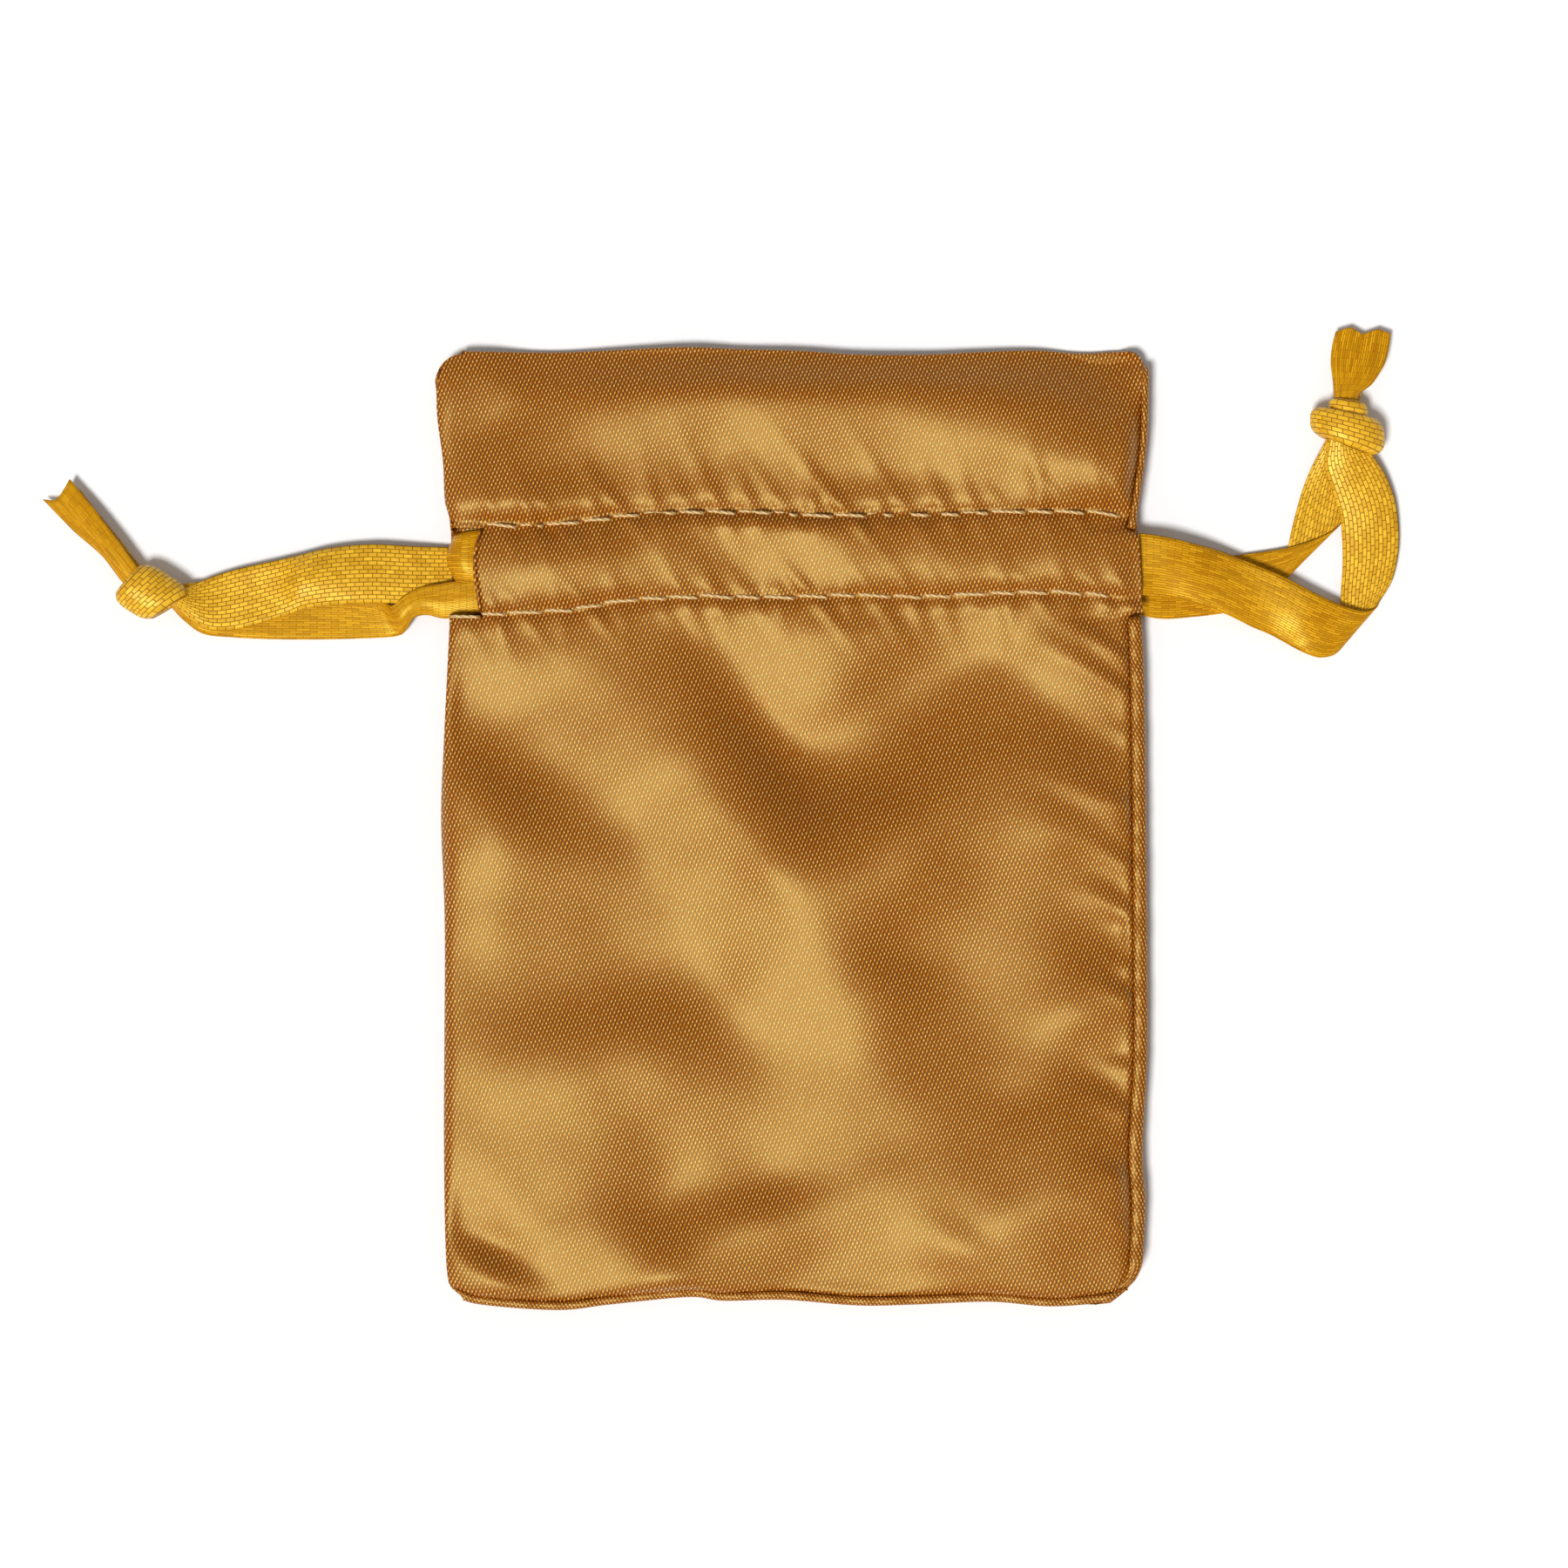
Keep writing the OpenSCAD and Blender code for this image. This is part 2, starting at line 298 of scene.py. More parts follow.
def band(name, stations, face_up, ends=None, per_span=10, turns=False):
    """A flat ribbon through stations (one edge's xyz, the other edge's xyz, crown), in mm.

    The crown lifts the middle of the band. ends gives how much further each line of the
    ribbon runs at its cut end, from the first edge to the other.
    """
    fine = smooth(stations, per_span)
    a, b, crown = fine[:, 0:3], fine[:, 3:6], fine[:, 6]
    s = np.linspace(0, 1, ACROSS + 1)
    points = a[:, None] + (b - a)[:, None] * s[None, :, None]
    middle = (a + b) / 2
    ahead = np.gradient(middle, axis=0)
    up = np.cross(ahead, b - a)
    up /= np.linalg.norm(up, axis=1)[:, None] + 1e-9
    up *= np.sign(up[:1, 2:3]) if turns else np.sign(up[:, 2:3] + 1e-9)
    points += up[:, None] * (crown[:, None] * np.sin(np.pi * s)[None])[..., None]
    step = np.linalg.norm(np.diff(middle, axis=0), axis=1)
    run = np.concatenate([[0], np.cumsum(step)])
    if ends is not None:
        extra = np.interp(s, np.linspace(0, 1, len(ends)), ends)
        share = np.clip((run - run[-1] + 3) / 3, 0, 1)
        direction = (middle[-1] - middle[-6]) / np.linalg.norm(middle[-1] - middle[-6])
        points += share[:, None, None] * extra[None, :, None] * direction
    uv = np.stack([np.repeat(run[:, None], ACROSS + 1, 1),
                   np.repeat(s[None] * RIBBON_W, len(run), 0)], axis=-1)
    sides = [RIBBON_SATIN, RIBBON_BASKET]
    if face_up == "basket":
        sides.reverse()
    obj = grid_object(name, points, uv, sides)
    normal_up = np.cross(points[1, 0] - points[0, 0], points[0, 1] - points[0, 0])[2] < 0
    if not normal_up:
        obj.data.flip_normals()
    thicken(obj, RIBBON_T, 0, 1)
    return obj, middle * MM


# Each row: the upper edge's x, y, z, the lower edge's x, y, z and the crown.
LEFT_FRONT_BAND = [
    (-33, 27.4, 2.3, -33, 23.3, 2.0, 0.1),
    (-34.2, 26.8, 2.2, -34, 23, 2.0, 0.3),
    (-37, 26.4, 1.8, -37.4, 22.5, 1.7, 0.4),
    (-39.9, 25.9, 1.7, -39.5, 22.9, 1.5, 0.4),
    (-41.9, 25, 1.6, -40.9, 22.6, 1.4, 0.4),
    (-43.3, 23.9, 1.4, -41.6, 21.6, 1.1, 0.3),
    (-44.2, 24.6, 0.8, -42.4, 20.8, 0.5, 0.2),
    (-45.6, 25.8, 0.4, -44.3, 20.5, 0.3, 0.1),
    (-50, 26.6, 0.3, -50, 20.3, 0.3, 0),
    (-56, 26.7, 0.3, -56, 20.3, 0.4, 0),
    (-60.3, 26.6, 0.5, -60.5, 20.5, 0.5, 0),
    (-63.3, 26.5, 0.9, -63.7, 20.9, 0.6, 0.3),
    (-65.2, 26.3, 1.3, -65.8, 22.4, 0.9, 0.6),
    (-66.9, 26.1, 1.8, -67.4, 24.0, 1.2, 0.6),
    (-69.2, 26.8, 2.1, -69.6, 24.6, 1.6, 0.3),
    (-70.6, 28.1, 2.1, -72, 26.2, 1.7, 0.3),
    (-72.6, 30.8, 2.0, -74.4, 29.2, 1.5, 0.4),
    (-75, 34, 1.7, -77.4, 31.8, 1.2, 0.3),
    (-77.3, 36.8, 1.4, -79.6, 33.9, 1.0, 0.2),
]
LEFT_BACK_BAND = [
    (-34, 30.2, 0.75, -34, 24.3, 0.7, 0),
    (-37, 30.2, 0.8, -37, 24.3, 0.75, 0),
    (-41.1, 30.3, 1.3, -41.1, 24.1, 1.4, 0.1),
    (-45.5, 30.5, 1.4, -45.5, 24.2, 1.7, 0.2),
    (-50, 30.1, 1.3, -49.6, 24.0, 1.7, 0.7),
    (-53.4, 29.3, 1.2, -52.6, 23.6, 1.5, 0.9),
    (-55.6, 28.8, 1.2, -54.8, 22.8, 1.2, 0.1),
    (-58, 28.3, 1.1, -57.6, 22, 1.1, -0.1),
    (-60.5, 27.7, 1.1, -60.6, 21.3, 1.0, 0),
    (-62.9, 26.9, 1.2, -63, 21.4, 1.1, 0.2),
    (-64.7, 26.1, 1.5, -65.1, 22.6, 1.4, 0.5),
    (-66.2, 25.6, 2.1, -66.9, 24.3, 1.9, 0.5),
    (-68.4, 26.6, 2.4, -69.2, 25, 2.1, 0.3),
    (-70.2, 28.0, 1.5, -71.8, 26.4, 1.2, 0.3),
    (-72.5, 30.9, 1.3, -74.3, 29.4, 0.9, 0.3),
    (-74.9, 33.8, 1.0, -77.3, 31.9, 0.6, 0.2),
    (-76.8, 36.2, 0.8, -79.5, 33.9, 0.4, 0.1),
]
RIGHT_FRONT_BAND = [
    (34, 31.6, 2.8, 34, 25.3, 2.7, 0),
    (37.1, 31.6, 2.8, 37.1, 25, 2.7, 0.1),
    (39.9, 31.2, 3.0, 39.6, 24.9, 2.2, 0.3),
    (42.9, 30.5, 2.7, 42.3, 24.3, 2.2, 0.3),
    (45.3, 29.9, 2.1, 44.5, 23.6, 2.2, 0.3),
    (47.5, 29.1, 1.8, 46.7, 22.8, 2.1, 0.2),
    (50.3, 28, 1.9, 49.2, 21.6, 1.7, 0.1),
    (53, 26.8, 2.1, 51.4, 20.7, 1.3, 0.3),
    (56, 25.2, 2.1, 53.6, 19.5, 1.2, 0.5),
    (59.3, 23.8, 1.7, 55.1, 18.7, 1.6, 0.1),
    (61.4, 23.3, 1.6, 56.6, 18.3, 1.5, 0),
    (62.6, 23.7, 1.2, 58.2, 18.7, 1.1, 0),
    (63.1, 24.5, 0.9, 59.1, 19.9, 0.8, 0),
    (63.9, 25.6, 0.8, 59, 22.2, 0.6, 0),
    (64.6, 27.2, 0.8, 58.9, 24.9, 0.6, 0.1),
    (65.1, 29.9, 0.8, 59.1, 28.2, 0.6, 0.2),
    (65.1, 32.5, 0.9, 59.05, 31, 0.7, 0.2),
    (64.7, 35.2, 1.1, 58.8, 33.4, 0.9, 0.3),
    (63.9, 37.4, 1.3, 58.2, 35.4, 1.2, 0.3),
    (63.1, 38.8, 1.5, 57.5, 37.3, 1.5, 0.4),
    (62.2, 40, 1.8, 57, 39.1, 1.8, 0.5),
    (61.3, 41.2, 2.2, 57.2, 40.8, 2.2, 0.4),
    (60.9, 43, 2.5, 57.8, 43, 2.5, 0.3),
    (59.2, 44.2, 3.1, 59.4, 44.2, 1.6, 0),
    (58.2, 45.3, 2.4, 60.4, 45.3, 2.5, 0.3),
    (58, 46.4, 2.2, 60.7, 46.6, 2.3, 0.5),
    (57.9, 48, 1.9, 62.1, 47.7, 2.0, 0.4),
    (57.7, 50, 1.6, 63.4, 49.7, 1.7, 0.2),
    (57.9, 51.9, 1.3, 63.9, 51.2, 1.4, 0.1),
    (58.3, 53.4, 1.2, 64.1, 52.6, 1.2, 0),
]
RIGHT_BACK_BAND = [
    (34, 29.0, 0.9, 34, 25.4, 0.85, 0),
    (36, 28.7, 0.9, 36, 24, 0.8, 0),
    (37.4, 28.4, 0.8, 37.5, 22.9, 0.7, 0),
    (40, 28.6, 0.6, 39.9, 22.5, 0.5, 0),
    (43.2, 28.9, 0.4, 42.9, 22.7, 0.4, 0),
    (47, 29.3, 0.4, 46.2, 23.1, 0.4, 0),
    (50.3, 29.7, 0.5, 49.2, 23.9, 0.4, 0),
    (53.3, 30.2, 0.6, 51.2, 25, 0.5, 0.1),
    (56, 31, 0.8, 52.1, 25.8, 0.6, 0.1),
    (58, 32, 0.8, 52.5, 26.3, 0.6, 0),
    (58.9, 32.8, 0.5, 52.8, 27, 0.4, 0),
    (59.3, 33.8, 0.3, 53, 28.6, 0.3, 0),
    (59.5, 34.8, 0.3, 53.3, 30.4, 0.3, 0),
    (59.7, 36.1, 0.3, 53.8, 32.8, 0.4, 0),
    (59.9, 38, 0.5, 54.6, 35.8, 0.5, 0.1),
    (60.1, 39.4, 0.8, 55.3, 37.8, 0.8, 0.2),
    (60.3, 40.4, 1.2, 56.1, 39.6, 1.2, 0.3),
    (60.3, 41.6, 1.6, 57, 41.3, 1.6, 0.3),
    (60.6, 43.4, 1.7, 58, 43.4, 1.7, 0.3),
    (60.8, 45.4, 1.6, 58.6, 45.3, 1.5, 0.3),
    (61.2, 47.2, 1.2, 58.6, 47.4, 1.2, 0.3),
    (63, 49.6, 0.8, 58.6, 49.9, 0.8, 0.1),
    (64, 52, 0.6, 59.4, 52.2, 0.6, 0),
]


def collar(name, centre, turn, half_w, half_h, width, lean=0.0, swell=0.35, start=0.0):
    """A band of ribbon wrapped once round the strands: a closed ring, crowned across its width.

    turn is the direction of the strands' run, from +X, and lean tips the ring in plan.
    """
    angle = np.linspace(0, 2 * np.pi, 73)[:-1]
    s = np.concatenate([[-0.9, -0.98], np.linspace(-1, 1, 15), [0.98, 0.9]])
    crown = 1 - swell * s**4
    crown[[0, 1, -2, -1]] = [0.45, 0.62, 0.62, 0.45]
    x = np.cos(angle)[:, None] * (half_w * crown)[None]
    z = np.sin(angle)[:, None] * (half_h * (0.55 + 0.45 * crown))[None]
    y = s[None] * width / 2 * (1 + 0.12 * np.cos(angle + start)[:, None])
    y = y + lean * x
    t = math.radians(turn - 90)
    points = np.stack([
        centre[0] + x * math.cos(t) - y * math.sin(t),
        centre[1] + x * math.sin(t) + y * math.cos(t),
        centre[2] + z,
    ], axis=-1)
    uv = np.stack([np.repeat(angle[:, None] * half_w * 0.8, len(s), 1),
                   np.repeat((s[None] + 1) * width / 2, 72, 0)], axis=-1)
    points = np.concatenate([points, points[:1]])
    uv = np.concatenate([uv, uv[:1] + [2 * np.pi * half_w * 0.8, 0]])
    obj = grid_object(name, points, uv, [RIBBON_BASKET, RIBBON_SATIN])
    thicken(obj, 0.3, 1, 1)
    return obj


def make_left_ribbon():
    front, front_line = band("left_ribbon_front_strand_satin", LEFT_FRONT_BAND, "satin",
                             (1.0, 0.8, 0.7, 0.8, 2.0))
    back, back_line = band("left_ribbon_back_strand_satin", LEFT_BACK_BAND, "basket",
                           (0.2, -1.4, 0.6))
    knot = collar("left_ribbon_knot_wrap", (-69.3, 25.2, 2.1), 147, 2.5, 1.6, 4.8, -0.3, 0.22)
    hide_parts("left_ribbon_front_strand")
    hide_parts("left_ribbon_back_strand")
    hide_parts("left_ribbon_knot")
    for piece in (front, back, knot):
        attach(piece, "left_drawstring")
    return (front, front_line), (back, back_line), [knot]


def make_right_ribbon():
    front, front_line = band("right_ribbon_front_strand_satin", RIGHT_FRONT_BAND, "satin",
                             (0.0, 0.7, 0.1, 0.9, 0.6))
    back, back_line = band("right_ribbon_back_strand_satin", RIGHT_BACK_BAND, "satin",
                           (0.4, -0.6, 0.3))
    knot = collar("right_ribbon_knot_wrap", (59.4, 42.8, 2.3), 90, 3.7, 1.8, 3.4, -0.28, 0.4)
    top = collar("right_ribbon_knot_top_wrap", (59.5, 45, 2.2), 90, 1.8, 1.2, 1.6, -0.2, 0.5)
    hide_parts("right_ribbon_front_strand")
    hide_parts("right_ribbon_back_strand")
    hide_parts("right_ribbon_knot")
    for piece in (front, back, knot, top):
        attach(piece, "right_drawstring")
    return (front, front_line), (back, back_line), [knot, top]


left_front, left_back, left_knots = make_left_ribbon()
right_front, right_back, right_knots = make_right_ribbon()

# ---------------------------------------------------------------- the sack's shape
CLOTH_T = 0.25
# The top and bottom that the uneven edges depart from.
TOP_Y = 51
BOTTOM_Y = -51
UPPER_ROW = [(-40, 32.2), (-33, 32.5), (-28.5, 32.3), (-24, 32.7), (-20.8, 33.1), (-17.5, 33.5),
             (-13.9, 33.7), (-10.3, 33.9), (-6.6, 33.8), (-3, 33.8), (0.8, 33.5), (8, 33.5),
             (15, 33.6), (21.7, 33.8), (28.3, 33.9), (34.6, 33.6), (37, 32.4), (40, 32)]
LOWER_ROW = [(-40, 22.3), (-37.4, 22.5), (-31.4, 22.9), (-27.7, 23.2), (-23.5, 23.4), (-20.4, 24),
             (-17, 24.5), (-13.6, 24.7), (-10.2, 24.8), (-6.2, 24.7), (1.5, 24.8), (8.5, 24.9),
             (15.7, 24.8), (22.5, 25.2), (29.3, 25.2), (36.8, 24.6), (40, 24.4)]
LEFT_EDGE = [(-52, -36.4), (-49.9, -37), (-45.7, -37.4), (-32.6, -37.6), (-11.2, -37.5),
             (0.9, -37.9), (9.3, -37.6), (17.7, -37.2), (22.4, -37), (32, -36.9), (35.1, -37.5),
             (39.3, -37.7), (44, -38.3), (47.5, -38.4), (52, -38.4)]
RIGHT_EDGE = [(-52, 37.2), (-47.5, 37.4), (-40.8, 37.7), (-34.5, 37.4), (-24.6, 37.9), (-14, 37.9),
              (-2.8, 37.8), (8.4, 37.7), (17.7, 37.5), (24, 37.2), (32.3, 36.8), (35.3, 37.1),
              (41.3, 37.9), (48.7, 38.1), (52, 38.1)]
TOP_EDGE = [(-40, 50.8), (-36, 50.9), (-26, 50.9), (-19.4, 51.1), (-11.7, 51.4), (-6.2, 51.2),
            (0.7, 51), (6.6, 50.6), (14, 50.6), (20, 50.9), (26, 51.1), (31.2, 50.8), (35, 51),
            (40, 50.8)]
BOTTOM_EDGE = [(-40, -49.6), (-36.5, -50.3), (-33.7, -51.2), (-25.4, -51.8), (-19.8, -51.2),
               (-11.4, -50.4), (-7.6, -50.8), (-1, -50.7), (6.7, -51.3), (13, -51.2), (21, -50.9),
               (27.4, -51.4), (33, -51), (36, -50.4), (40, -49.6)]
NOTCH_EDGE = [(22, -33.4), (23.2, -33.5), (24.9, -33.7), (27.3, -34), (29.9, -33.9), (32.2, -33.3),
              (34, -33.4)]
NOTCH_LOW, NOTCH_HIGH = 22.6, 32.2
SIDE_SEAM_STRIP, BOTTOM_SEAM_STRIP = 1.5, 0.95
EDGE_Z = 2.8
BODY_Z = 4.3
CASING_Z = 4.1
HEADER_Z = 3.7
TOP_Z = 2.2
BACK_Z = 0.15

# Broad wrinkles: x, y, long and short reach, angle, and slope (plus: rises to the mouth).
BODY_WAVES = [
    (-5, 9, 8.5, 2.8, -59, -0.6), (0, 1, 5, 3.6, -50, -0.4), (7, 3, 5, 5.5, 30, -0.5),
    (14, 7.5, 8, 4.2, 40, -0.55), (30, 7, 6.5, 3.4, -12, -0.42), (-2, 16, 4.5, 4, -50, 0.42),
    (3.4, 10, 2.6, 3.6, 50, 0.34), (13, 18.5, 6, 2.2, 24, 0.42), (28.5, 15.5, 6, 1.9, -40, 0.5),
    (-33.4, 15, 2.4, 3, -30, 0.26), (-24, 14, 9, 5, -10, 0.06), (-34, 6.5, 3, 4.4, 30, -0.5),
    (-29, 3.5, 5, 2.8, -40, -0.34), (-14, 5, 3.4, 3, -60, 0.1), (-11.5, -1, 6, 3.2, -54, 0.42),
    (-20, -5, 5, 4, -60, -0.16),
    (-6, -9.5, 6, 3.8, -58, 0.45), (-0.4, -20.5, 7, 4.8, -66, 0.45), (4.6, -33, 7, 4.6, -80, 0.35),
    (-29, -5.4, 7, 2.6, 0, 0.14), (-20, -10, 10, 3.4, -20, 0.05), (-24.5, -20.6, 6, 2.8, 10, -0.36),
    (-14, -20.4, 6, 3, -5, -0.36), (-22, -29.5, 12, 2.8, 0, 0.1), (-30, -35, 5, 3, 0, 0.06),
    (-33.6, -41.6, 3, 2.2, -60, 0.4), (-32.4, -46.4, 3.6, 1.1, -28, -1.1), (-20, -37, 6, 2.4, 10, 0.06),
    (-13.6, -44.6, 3, 2.8, 70, -0.8), (-4, -40, 6, 1.8, 10, -0.5), (6, -42.6, 5, 2.2, 30, 0.4),
    (10.4, -15, 2.2, 2, 0, -0.4), (16, -6.4, 3.2, 4.6, -20, 0.55), (28, -3.2, 6, 1.7, 12, 0.45),
    (34, -9.2, 1.8, 1.4, 0, 0.45), (32, -15.4, 4, 2.8, 28, -0.5), (32.5, -22.2, 3, 1.9, 0, 0.36),
    (17, -26, 4.4, 4, 40, -0.32), (24, -31, 5, 3.6, 20, -0.4), (31.6, -29.4, 3.6, 2.2, 40, -0.4),
    (20, -37.4, 5, 3, -20, -0.34), (34, -37, 2.4, 2.2, 0, -0.5), (22, -27.2, 2.6, 1.5, 0, 0.2),
    (30, -42.4, 5.4, 2, 14, 0.46), (19, -44, 3, 1.2, -30, -0.3), (14, -47, 8, 1.2, 0, 0.1),
    (-28, 20, 5, 1.6, 10, -0.14), (6.6, 22.6, 4.6, 1.3, 0, -0.4), (33, 21.6, 4, 1.6, 0, -0.4),
    (-8, 21.4, 4, 1.6, -20, 0.26), (19, 21.6, 4, 1.4, -8, 0.3), (31, 3, 4, 0.8, -24, 0.4),
]
HEADER_WAVES = [
    (-31, 41, 5, 3, 40, -0.6), (-26, 36.6, 4, 2, 10, -0.5), (-4, 43.4, 12, 2.4, -2, 0.4),
    (6, 40, 6, 2, -20, 0.3), (24, 38, 8, 1.6, -12, 0.42), (34, 43.2, 4, 3.4, 0, -0.75),
    (24, 46, 8, 2, 0, -0.24), (-12, 48, 20, 1.6, 0, -0.34), (14, 48.6, 16, 1.4, 0, -0.3),
    (-34.4, 46.4, 2.4, 2.4, 0, 0.9), (10, 36.4, 5, 1.6, 0, -0.3), (-10, 36.8, 4, 1.4, 30, -0.24),
]
CASING_WAVES = [
    (-23, 30.8, 8, 1.6, 0, -0.4), (-6, 30.4, 4, 1.8, -20, 0.55), (2, 30.6, 4, 1.6, -20, 0.4),
    (22, 30.4, 11, 1.6, 0, -0.3), (-28, 26.4, 5, 1.4, 0, 0.2), (8, 26.4, 8, 1.2, 0, 0.2),
    (-14, 28.6, 2, 2.4, 60, 0.3), (14, 29, 2, 2, 60, 0.24), (29, 28.2, 2, 2, 60, 0.24),
]
# Creases that run in from the side seam: place, height, width, length in and slope.
SEAM_PUCKERS = [(17.6, 0.4, 0.7, 6, 0.75), (14, 0.5, 0.8, 8, 0.7), (9.6, 0.25, 0.9, 3, 0.4),
                (2, 0.4, 0.9, 3.4, 0.3), (-4.4, 0.6, 1.0, 4, 0.55), (-9.6, 0.7, 1.1, 4.6, 0.5),
                (-15.4, 0.3, 0.9, 3, 0.3), (-19, 0.6, 1.0, 3.6, 0.6), (-26, 0.4, 0.8, 3, 0.2),
                (-31, 0.5, 1.0, 4.6, 0.5), (-38, 0.4, 0.9, 3.4, 0.4), (-43.5, 0.35, 0.8, 3, 0.6)]
FINE_WAVES = 22


def waves(x, y, patches):
    total = np.zeros_like(x)
    for cx, cy, long, short, angle, slope in patches:
        a = math.radians(angle)
        u = (x - cx) * math.cos(a) + (y - cy) * math.sin(a)
        v = -(x - cx) * math.sin(a) + (y - cy) * math.cos(a)
        total += slope * np.exp(-0.5 * (u / long) ** 2 - 0.5 * (v / short) ** 2)
    return total


RELIEF_STEP = 0.6
# Limits on how steeply the broad wrinkles rise towards the mouth, before puckers add to them.
STEEPEST = 0.26
CASING_STEEPEST = 0.6


def relief_table(patches, steepest=STEEPEST):
    """The smoothest heights whose slopes up the sack are close to the patches' slopes."""
    step = RELIEF_STEP
    gx = np.arange(-60, 60, step)
    gy = np.arange(-72, 72, step)
    slope = waves(*np.meshgrid(gx, gy), patches)
    slope = np.where(slope > 0, steepest * np.tanh(slope / steepest), slope)
    kx = 2 * np.pi * np.fft.fftfreq(len(gx), step)[None]
    ky = 2 * np.pi * np.fft.fftfreq(len(gy), step)[:, None]
    stiff = ky**2 + 0.22 * kx**2 + (2 * np.pi / 75) ** 2
    return np.real(np.fft.ifft2(-1j * ky * np.fft.fft2(slope) / stiff)), gx, gy


def relief(x, y, table):
    height, gx, gy = table
    step = RELIEF_STEP
    fx = np.clip((x - gx[0]) / step, 0, len(gx) - 1.001)
    fy = np.clip((y - gy[0]) / step, 0, len(gy) - 1.001)
    ix, iy = fx.astype(int), fy.astype(int)
    tx, ty = fx - ix, fy - iy
    a = height[iy, ix] * (1 - tx) + height[iy, ix + 1] * tx
    b = height[iy + 1, ix] * (1 - tx) + height[iy + 1, ix + 1] * tx
    return a * (1 - ty) + b * ty


BODY_RELIEF = relief_table(BODY_WAVES)
CASING_RELIEF = relief_table(CASING_WAVES, CASING_STEEPEST)
HEADER_RELIEF = relief_table(HEADER_WAVES)


def rise(distance, reach):
    """From 0 at an edge to 1 at that distance, level there."""
    t = np.clip(distance / reach, 0, 1)
    return 1 - (1 - t) ** 2


def fold(distance, radius):
    """The side of a rounded fold: upright at the edge, level past the radius."""
    t = np.clip(distance / radius, 0, 1)
    return np.sqrt(np.maximum(1 - (1 - t) ** 2, 0))


def bell(distance, width):
    return np.exp(-(distance / width) ** 2)


def ease(t):
    t = np.clip(t, 0, 1)
    return t * t * (3 - 2 * t)


def in_slit(y):
    """1 beside the slits, where the ribbons come out, and 0 past their two ends."""
    return ease((y - NOTCH_LOW + 0.2) / 1.2) * ease((NOTCH_HIGH + 0.2 - y) / 1.2)


def stitch_ends(row, first, last, pitch):
    """The needle holes along a row, with a hand's small unevenness."""
    count = int((last - first) / pitch) + 1
    x = first + pitch * (np.arange(count) + 0.09 * np.sin(np.arange(count) * 2.3))
    return x, along(row, x)


STITCH_PITCH = 3.4
UPPER_HOLES = stitch_ends(UPPER_ROW, -33.2, 36.6, STITCH_PITCH)
LOWER_HOLES = stitch_ends(LOWER_ROW, -37.2, 36.8, STITCH_PITCH)


def puckers(x, y, row, holes, above, below):
    """The pulled-down stitch line, a dimple at each hole, and the small gathers beside it."""
    from_row = y - along(row, x)
    height = -0.45 * bell(from_row, 1.1)
    for k, (hx, hy) in enumerate(zip(*holes)):
        strength = 0.8 + 0.3 * math.sin(k * 1.9) + 0.15 * math.sin(k * 0.7)
        lean = -0.5 + 0.35 * math.sin(k * 2.7)
        dx = x - hx - lean * (y - hy)
        height += -0.34 * np.exp(-(dx / 0.42) ** 2 - ((y - hy) / 0.6) ** 2)
        far = np.where(from_row > 0, above, below) * (0.85 + 0.3 * math.sin(k * 3.1))
        gather_here = np.exp(-((dx - 1.6) / 0.85) ** 2 - (np.abs(from_row) / far) ** 1.5)
        height += 0.52 * strength * gather_here * (1 - bell(from_row, 0.4))
    return height


def unevenness(x, y):
    """Soft, small waves in no one direction."""
    random = np.random.default_rng(7)
    z = np.zeros_like(x)
    for _ in range(FINE_WAVES):
        angle, length, phase = random.uniform(0, [2 * np.pi, 1, 2 * np.pi])
        length = 6 + 16 * length
        bent = x * math.cos(angle) + y * math.sin(angle) + 1.2 * np.sin(y * 0.13 + phase)
        z += 0.0022 * length * np.sin(2 * np.pi * bent / length + phase)
    return z


def edge_lines(y):
    """The left and right edges at these heights up the sack, with its rounded corners."""
    left, right = along(LEFT_EDGE, y), along(RIGHT_EDGE, y)

    def corner(near, radius):
        t = np.clip((radius - near) / radius, 0, 1)
        return radius * (1 - np.sqrt(np.maximum(1 - t**2, 0)))

    left = left + corner(51 - y, 2.8) + corner(y + 50.6, 1.2)
    right = right - corner(51 - y, 2.0) - corner(y + 51, 4.2)
    return left, right


def strip_width(y):
    """How far the back cloth comes round the side: the seam is that far in from the edge."""
    strip = SIDE_SEAM_STRIP - 0.7 * ease((y - 30) / 4) - 0.65 * ease((y - 49) / 2)
    return strip * (1 - in_slit(y)) + 0.1 * in_slit(y)


